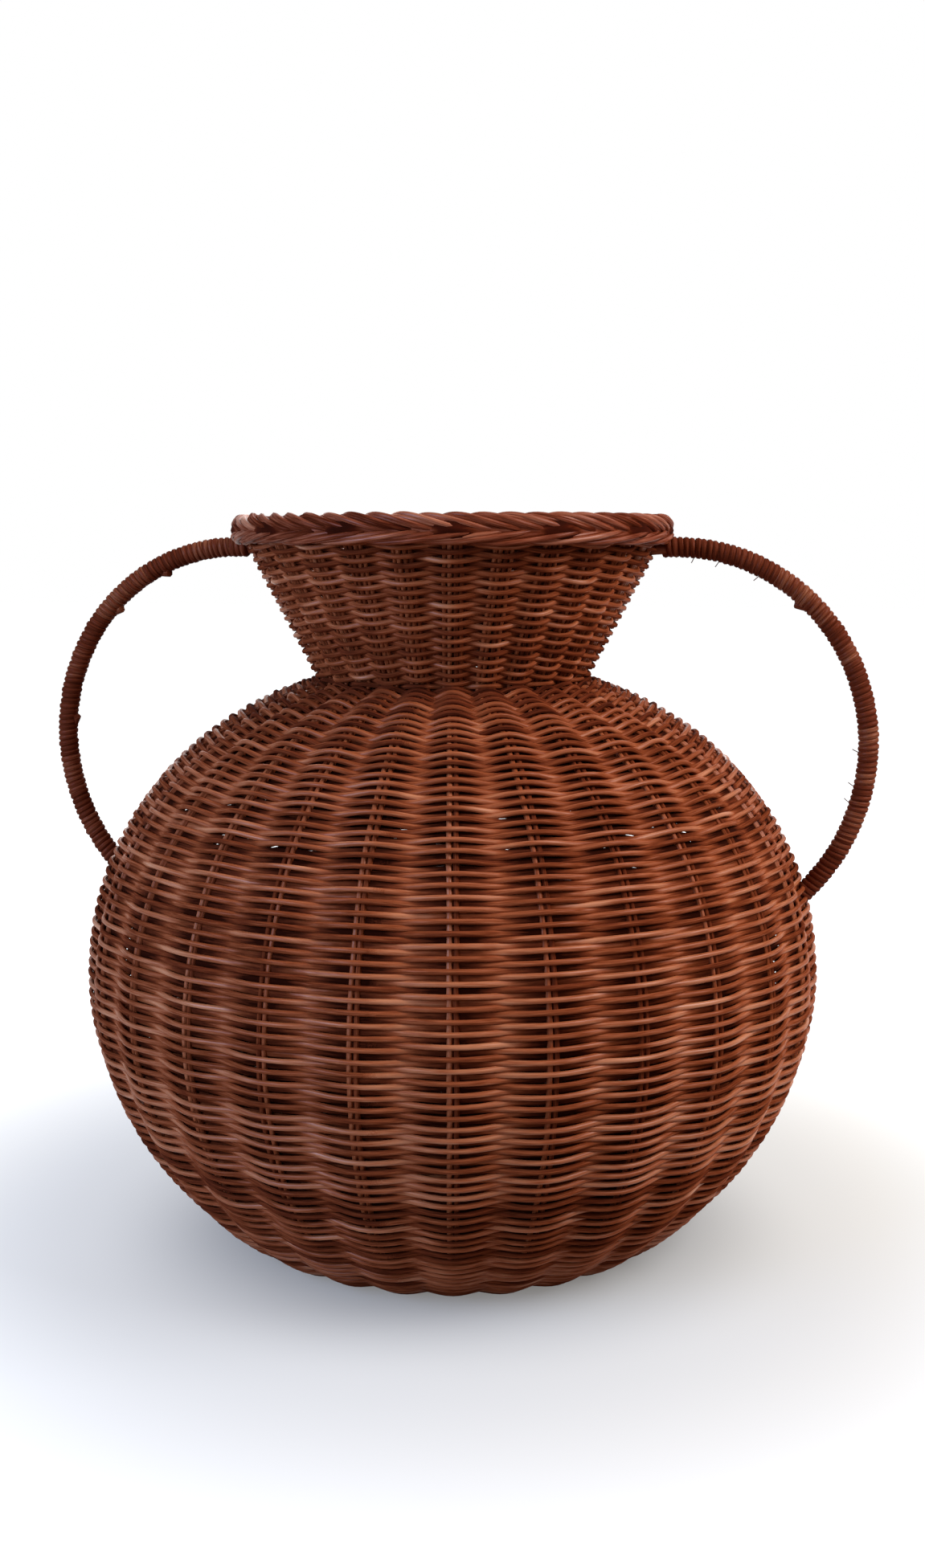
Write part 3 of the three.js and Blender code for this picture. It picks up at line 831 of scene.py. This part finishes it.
class RATTAN_OT_weave_wall(bpy.types.Operator):
    """Weave the base and the wall in one spiral round the stakes"""

    bl_idname = "rattan.weave_wall"
    bl_label = "Weave Wall"
    bl_options = {"REGISTER", "UNDO"}

    def execute(self, context):
        outline = context.scene.vase_outline
        weave = context.scene.vase_weave
        stain = context.scene.vase_finish
        guide = wall_guide(outline, weave)
        tree = strand_tree("Weaver", weaver_rule, WEAVER_SIZES)
        finish = finish_named("weave_stain")
        middle = weave.base_middle - weave.base_hole
        base = outline.base_radius * BASE_SHARE - weave.base_hole
        foot = run_at(guide, top_of("lower_weave"))
        belly = run_at(guide, top_of("belly_weave"))
        neck = run_at(guide, outline.neck_height)
        mouth = run_at(guide, outline.mouth_height + weave.rim_overlap)
        pitch = weave.row_pitch
        # The bands' lightness and the shoulder's fade are painted shade
        bands = {
            "woven_base_middle": Band([], middle, pitch, stain.base_lightness),
            "woven_base": Band(["base_weave"], base, pitch, stain.base_lightness),
            "woven_foot": Band(["lower_weave"], foot, pitch, stain.foot_lightness, weave.rib),
            "woven_belly": Band(["belly_weave"], belly, pitch, stain.belly_lightness, weave.rib),
            "woven_shoulder": Band(
                ["shoulder_weave"], neck, pitch, stain.shoulder_lightness, weave.rib, stain.neck_fade
            ),
            "woven_collar": Band(
                ["collar_weave"], mouth, weave.collar_pitch, stain.collar_lightness, weave.collar_rib
            ),
        }
        first_row = 0
        start = 0.0
        for seed, (name, band) in enumerate(bands.items()):
            rows = round((band.end - start) / band.pitch)
            stakes = weave.stakes if band.nodes else weave.base_spokes
            piece = lay(
                name, guide, tree, finish,
                points=rows * stakes * POINTS_PER_STAKE + 1, thickness=weave.weaver, seed=seed,
                first_row=float(first_row), rows=float(rows), start=start, row_pitch=band.pitch,
                stakes=stakes, rib=band.rib, wander=weave.wander, flattening=weave.flattening,
                lengths_per_row=0.8, lightness=band.lightness, fade=band.fade,
            )
            fit(piece, "woven_rattan", *band.nodes)
            first_row += rows
            start += rows * band.pitch
        return {"FINISHED"}


class RATTAN_OT_set_stakes(bpy.types.Operator):
    """Set the stakes as pairs of reeds, the added reeds of the collar and the crossed base sticks"""

    bl_idname = "rattan.set_stakes"
    bl_label = "Set Stakes"
    bl_options = {"REGISTER", "UNDO"}

    def execute(self, context):
        outline = context.scene.vase_outline
        weave = context.scene.vase_weave
        stain = context.scene.vase_finish
        guide = wall_guide(outline, weave)
        tree = strand_tree("Reeds", reed_rule, REED_SIZES)
        finish = finish_named("stake_stain")
        # The stakes' lightness is painted shade, for the slits they lie in
        shared = {
            "strands": 2 * weave.stakes, "reeds": 2, "step": TURN / weave.stakes,
            "end": line_length(guide), "lightness": stain.stake_lightness,
        }
        pairs = lay(
            "stake_pairs", guide, tree, finish,
            points=220, thickness=weave.reed, seed=11, start=weave.stake_start,
            spacing=weave.reed_spacing, wander=1.2 * MM, unevenness=0.15, **shared,
        )
        fit(pairs, "stake_rattan", *nodes_named("stake_"))
        added = lay(
            "collar_reeds", guide, tree, finish,
            points=36, thickness=weave.reed * 0.85, seed=12,
            start=run_at(guide, outline.neck_height - weave.added_drop),
            spacing=weave.reed_spacing * 2.6, wander=1.5 * MM, unevenness=0.3, **shared,
        )
        fit(added, "stake_rattan")
        # The lower sticks lie along Y and the upper ones along X
        for name, axis in (("lower", 1), ("upper", 0)):
            nodes = nodes_named(f"base_stick_{name}_")
            low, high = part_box(nodes[0])
            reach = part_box(nodes[-1])[1][axis]
            height = (low[2] + high[2]) / 2
            row = [(reach * (2 * share - 1), height, MM) for share in shares(steps=20)]
            sticks = lay(
                f"base_sticks_{name}", row, tree, finish,
                strands=len(nodes), points=41, thickness=weave.reed, seed=13, reeds=len(nodes),
                end=2 * reach, spacing=2.6 * MM, wander=0.5 * MM, unevenness=0.1,
                first_angle=axis * TURN / 4,
            )
            fit(sticks, "stake_rattan", *nodes)
        return {"FINISHED"}


class RATTAN_OT_plait_rim(bpy.types.Operator):
    """Plait the border of the mouth over its filling"""

    bl_idname = "rattan.plait_rim"
    bl_label = "Plait Rim"
    bl_options = {"REGISTER", "UNDO"}

    def execute(self, context):
        rim = context.scene.vase_rim
        guide = rim_guide(rim)
        around = line_length(guide)
        tree = strand_tree("Border", border_rule, BORDER_SIZES)
        finish = finish_named("rim_stain")
        over = lay(
            "rim_bundles", guide, tree, finish,
            strands=rim.bundles * rim.reeds, points=28, sides=7, thickness=rim.reed * 1.15, seed=21,
            reeds=rim.reeds, step=TURN / rim.bundles, start=around * 0.95, end=around * 0.22,
            travel=4.0, ease=2.0, spread=0.36, tilt=0.4, dip=1.8,
        )
        fit(over, "rim_rattan", *nodes_named("rim_strand_"))
        under = lay(
            "rim_under_strands", guide, tree, finish,
            strands=rim.strands * rim.reeds, points=28, sides=7, thickness=rim.reed, seed=22,
            reeds=rim.reeds, step=TURN / rim.strands, start=0.0, end=around * 0.28,
            travel=2.4, spread=0.9, tilt=0.4, dip=2.0,
        )
        fit(under, "rim_rattan")
        ring = strand_tree("Filling", weaver_rule, WEAVER_SIZES)
        radius, height = rim_middle(rim)
        filling = lay(
            "rim_filling", [(radius, height, 0.0), (radius, height + MM, 0.0)], ring, finish,
            points=163, sides=10, thickness=rim.depth - REEDS_ROUND_FILLING * rim.reed, seed=23,
        )
        fit(filling, "rim_rattan")
        return {"FINISHED"}


class RATTAN_OT_bind_handles(bpy.types.Operator):
    """Bend the rods of both handles and bind them from the rim to the belly"""

    bl_idname = "rattan.bind_handles"
    bl_label = "Bind Handles"
    bl_options = {"REGISTER", "UNDO"}

    def execute(self, context):
        outline = context.scene.vase_outline
        handle = context.scene.vase_handle
        winding = (handle.thickness - handle.strand) / 2
        tree = strand_tree("Binding", binding_rule, BINDING_SIZES)
        rods = strand_tree("Rod", reed_rule, REED_SIZES)
        finish = finish_named("handle_stain")
        for name, side, seed in (("right", 1, 31), ("left", -1, 32)):
            guide = handle_guide(outline, handle, side)
            end = line_length(guide)
            turns = round((end - handle.bare) / handle.pitch)
            binding = lay(
                f"{name}_binding", guide, tree, finish,
                points=turns * POINTS_PER_TURN + 1, sides=8, thickness=handle.strand, seed=seed,
                start=handle.bare, end=end, turns=float(turns), winding_radius=winding,
            )
            fit(binding, "handle_rattan", f"{name}_handle_binding")
            rod = lay(
                f"{name}_rod", guide, rods, finish,
                points=80, sides=12, thickness=2 * winding, seed=seed + 10, reeds=1, end=end,
            )
            fit(rod, "handle_rattan", f"{name}_handle_core")
            inner_side = 0.0 if side > 0 else 0.5
            for kind, loose in LOOSE_ENDS.items():
                for i, share in enumerate(loose.places[name]):
                    start = end * share
                    piece = lay(
                        f"{name}_{kind}_{i + 1}", guide, tree, finish,
                        points=9, sides=7, thickness=loose.thickness, seed=seed + 20 + i,
                        start=start, end=start + loose.reach, first_turn=inner_side, turns=0.05,
                        rise=loose.rise, winding_radius=winding,
                    )
                    fit(piece, "handle_rattan")
        return {"FINISHED"}


# Stage

# Lights: place before it turns with the camera, side of the square, and tint
Lamp = namedtuple("Lamp", "place side tint")
LAMPS = {
    "key": Lamp((1.35, -0.6, 1.35), 1.0, (0.90, 0.94, 1.0)),
    "fill": Lamp((-1.35, -1.0, 0.8), 1.0, (0.38, 0.58, 1.0)),
    "overhead": Lamp((0.3, 0.0, 1.7), 1.2, WHITE),
    "back": Lamp((-0.2, 1.7, 0.9), 1.0, WHITE),
}
LIT_POINT = Vector((0, 0, 0.2))

FLOOR_REACH = 9.0
FLOOR_GREY = (0.3, 0.3, 0.3, 1.0)
# Tints of the painted shadow on the floor: cool to the left, warm to the right
LEFT_SHADOW_TINT = (0.96, 0.97, 1.0)
RIGHT_SHADOW_TINT = (1.0, 0.94, 0.87)


def seen_rays(graph):
    """1 for rays that show the stage to the camera, straight or in gloss and glass."""
    camera, glossy, clear = graph.node(
        "ShaderNodeLightPath", {}, {}, ["Is Camera Ray", "Is Glossy Ray", "Is Transmission Ray"]
    )
    return graph.calculate("MAXIMUM", graph.calculate("MAXIMUM", camera, glossy), clear)


def rising(graph, distance, near, far, least):
    """A value that rises smoothly with distance, from the least to 1."""
    values = {"Value": distance, "From Min": near, "From Max": far, "To Min": least, "To Max": 1.0}
    return graph.node("ShaderNodeMapRange", {"interpolation_type": "SMOOTHSTEP"}, values)


def floor_finish(glow):
    """White paper that glows white for the camera, with a painted shadow near the vase, deepest at its
    foot and tinted cool to the left and warm to the right.
    """
    material = bpy.data.materials.new("floor_paper")
    graph = cleared(material)
    paper = graph.node("ShaderNodeBsdfDiffuse", {}, {"Color": FLOOR_GREY})
    place = graph.node("ShaderNodeTexCoord", {}, {}, "Object")
    distance = graph.node("ShaderNodeVectorMath", {"operation": "LENGTH"}, {0: place}, "Value")
    # The glow is lower near the vase and lowest at its foot: painted shadow
    contact_shadow = rising(graph, distance, near=0.08, far=0.22, least=0.25)
    shadow = rising(graph, distance, near=0.2, far=0.48, least=glow)
    clear = rising(graph, distance, near=0.25, far=0.45, least=0.0)
    sideways = graph.node("ShaderNodeSeparateXYZ", {}, {"Vector": place}, "X")
    stops = [(0.0, WHITE), (0.25, LEFT_SHADOW_TINT), (0.75, RIGHT_SHADOW_TINT), (1.0, WHITE)]
    tint = graph.node("ShaderNodeValToRGB", {"stops": stops}, {"Fac": sideways + 0.5}, "Color")
    paling = {"Factor": clear, "A": tint, "B": (*WHITE, 1.0)}
    tint = graph.node("ShaderNodeMix", {"data_type": "RGBA"}, paling, "Result")
    lift = graph.node("ShaderNodeEmission", {}, {"Color": tint, "Strength": contact_shadow * shadow})
    bright = graph.node("ShaderNodeAddShader", {}, {0: paper, 1: lift})
    shown = graph.node("ShaderNodeMixShader", {}, {0: seen_rays(graph), 1: paper, 2: bright})
    graph.node("ShaderNodeOutputMaterial", {}, {"Surface": shown})
    return material


def set_room(strength):
    """A white room: strength 1 where it is seen, and weaker where it lights the vase."""
    world = bpy.data.worlds.new("white_room")
    graph = cleared(world)
    light = graph.node("ShaderNodeBackground", {}, {"Color": (*WHITE, 1.0), "Strength": strength})
    white = graph.node("ShaderNodeBackground", {}, {"Color": (*WHITE, 1.0), "Strength": 1.0})
    shown = graph.node("ShaderNodeMixShader", {}, {0: seen_rays(graph), 1: light, 2: white})
    graph.node("ShaderNodeOutputWorld", {}, {"Surface": shown})
    bpy.context.scene.world = world


def add_light(name, lamp, power, azimuth):
    """A soft square light that faces the belly; its place turns with the camera."""
    light = bpy.data.lights.new(name, "AREA")
    light.energy = power
    light.size = lamp.side
    light.color = lamp.tint
    hung = bpy.data.objects.new(name, light)
    hung.location = Matrix.Rotation(azimuth, 3, "Z") @ Vector(lamp.place)
    hung.rotation_euler = (LIT_POINT - hung.location).to_track_quat("-Z", "Y").to_euler()
    bpy.context.scene.collection.objects.link(hung)


class RATTAN_OT_set_stage(bpy.types.Operator):
    """Set the camera, the white floor and the soft lights"""

    bl_idname = "rattan.set_stage"
    bl_label = "Set Stage"
    bl_options = {"REGISTER", "UNDO"}

    def execute(self, context):
        scene = context.scene
        stage = scene.vase_stage
        view = bpy.data.cameras.new("camera")
        view.lens = stage.lens
        camera = bpy.data.objects.new("camera", view)
        turned = Matrix.Rotation(stage.azimuth, 3, "Z")
        camera.location = turned @ Vector((stage.sideways, -stage.distance, stage.height))
        camera.rotation_euler = (math.pi / 2 - stage.pitch, 0, stage.azimuth)
        scene.collection.objects.link(camera)
        scene.camera = camera

        sheet = bpy.data.meshes.new("floor")
        sides = ((-1, -1), (1, -1), (1, 1), (-1, 1))
        corners = [(x * FLOOR_REACH, y * FLOOR_REACH, 0) for x, y in sides]
        sheet.from_pydata(corners, [], [range(len(corners))])
        floor = bpy.data.objects.new("floor", sheet)
        sheet.materials.append(floor_finish(stage.floor_glow))
        scene.collection.objects.link(floor)

        set_room(stage.room_light)
        for name, lamp in LAMPS.items():
            add_light(name, lamp, getattr(stage, f"{name}_power"), stage.azimuth)
        scene.view_settings.view_transform = "Standard"
        return {"FINISHED"}


PIECES = (
    RATTAN_OT_weave_wall,
    RATTAN_OT_set_stakes,
    RATTAN_OT_plait_rim,
    RATTAN_OT_bind_handles,
    RATTAN_OT_set_stage,
)

GROUPS = {
    "vase_outline": VaseOutline,
    "vase_weave": VaseWeave,
    "vase_rim": VaseRim,
    "vase_handle": VaseHandle,
    "vase_finish": VaseFinish,
    "vase_stage": VaseStage,
}


class RATTAN_PT_vase(bpy.types.Panel):
    """The vase's sizes, colours and pieces"""

    bl_idname = "RATTAN_PT_vase"
    bl_label = "Rattan Vase"
    bl_space_type = "VIEW_3D"
    bl_region_type = "UI"
    bl_category = "Rattan Vase"

    def draw(self, context):
        for name, group in GROUPS.items():
            box = self.layout.box()
            box.label(text=group.__doc__)
            for prop in group.__annotations__:
                box.prop(getattr(context.scene, name), prop)
        for piece in PIECES:
            self.layout.operator(piece.bl_idname)


def register():
    for group in GROUPS.values():
        bpy.utils.register_class(group)
    for name, group in GROUPS.items():
        setattr(bpy.types.Scene, name, bpy.props.PointerProperty(type=group))
    for piece in PIECES:
        bpy.utils.register_class(piece)
    bpy.utils.register_class(RATTAN_PT_vase)


def unregister():
    bpy.utils.unregister_class(RATTAN_PT_vase)
    for piece in reversed(PIECES):
        bpy.utils.unregister_class(piece)
    for name, group in GROUPS.items():
        delattr(bpy.types.Scene, name)
        bpy.utils.unregister_class(group)


def main():
    """Make every piece and the stage."""
    register()
    bpy.ops.rattan.weave_wall()
    bpy.ops.rattan.set_stakes()
    bpy.ops.rattan.plait_rim()
    bpy.ops.rattan.bind_handles()
    bpy.ops.rattan.set_stage()


if __name__ == "__main__":
    main()
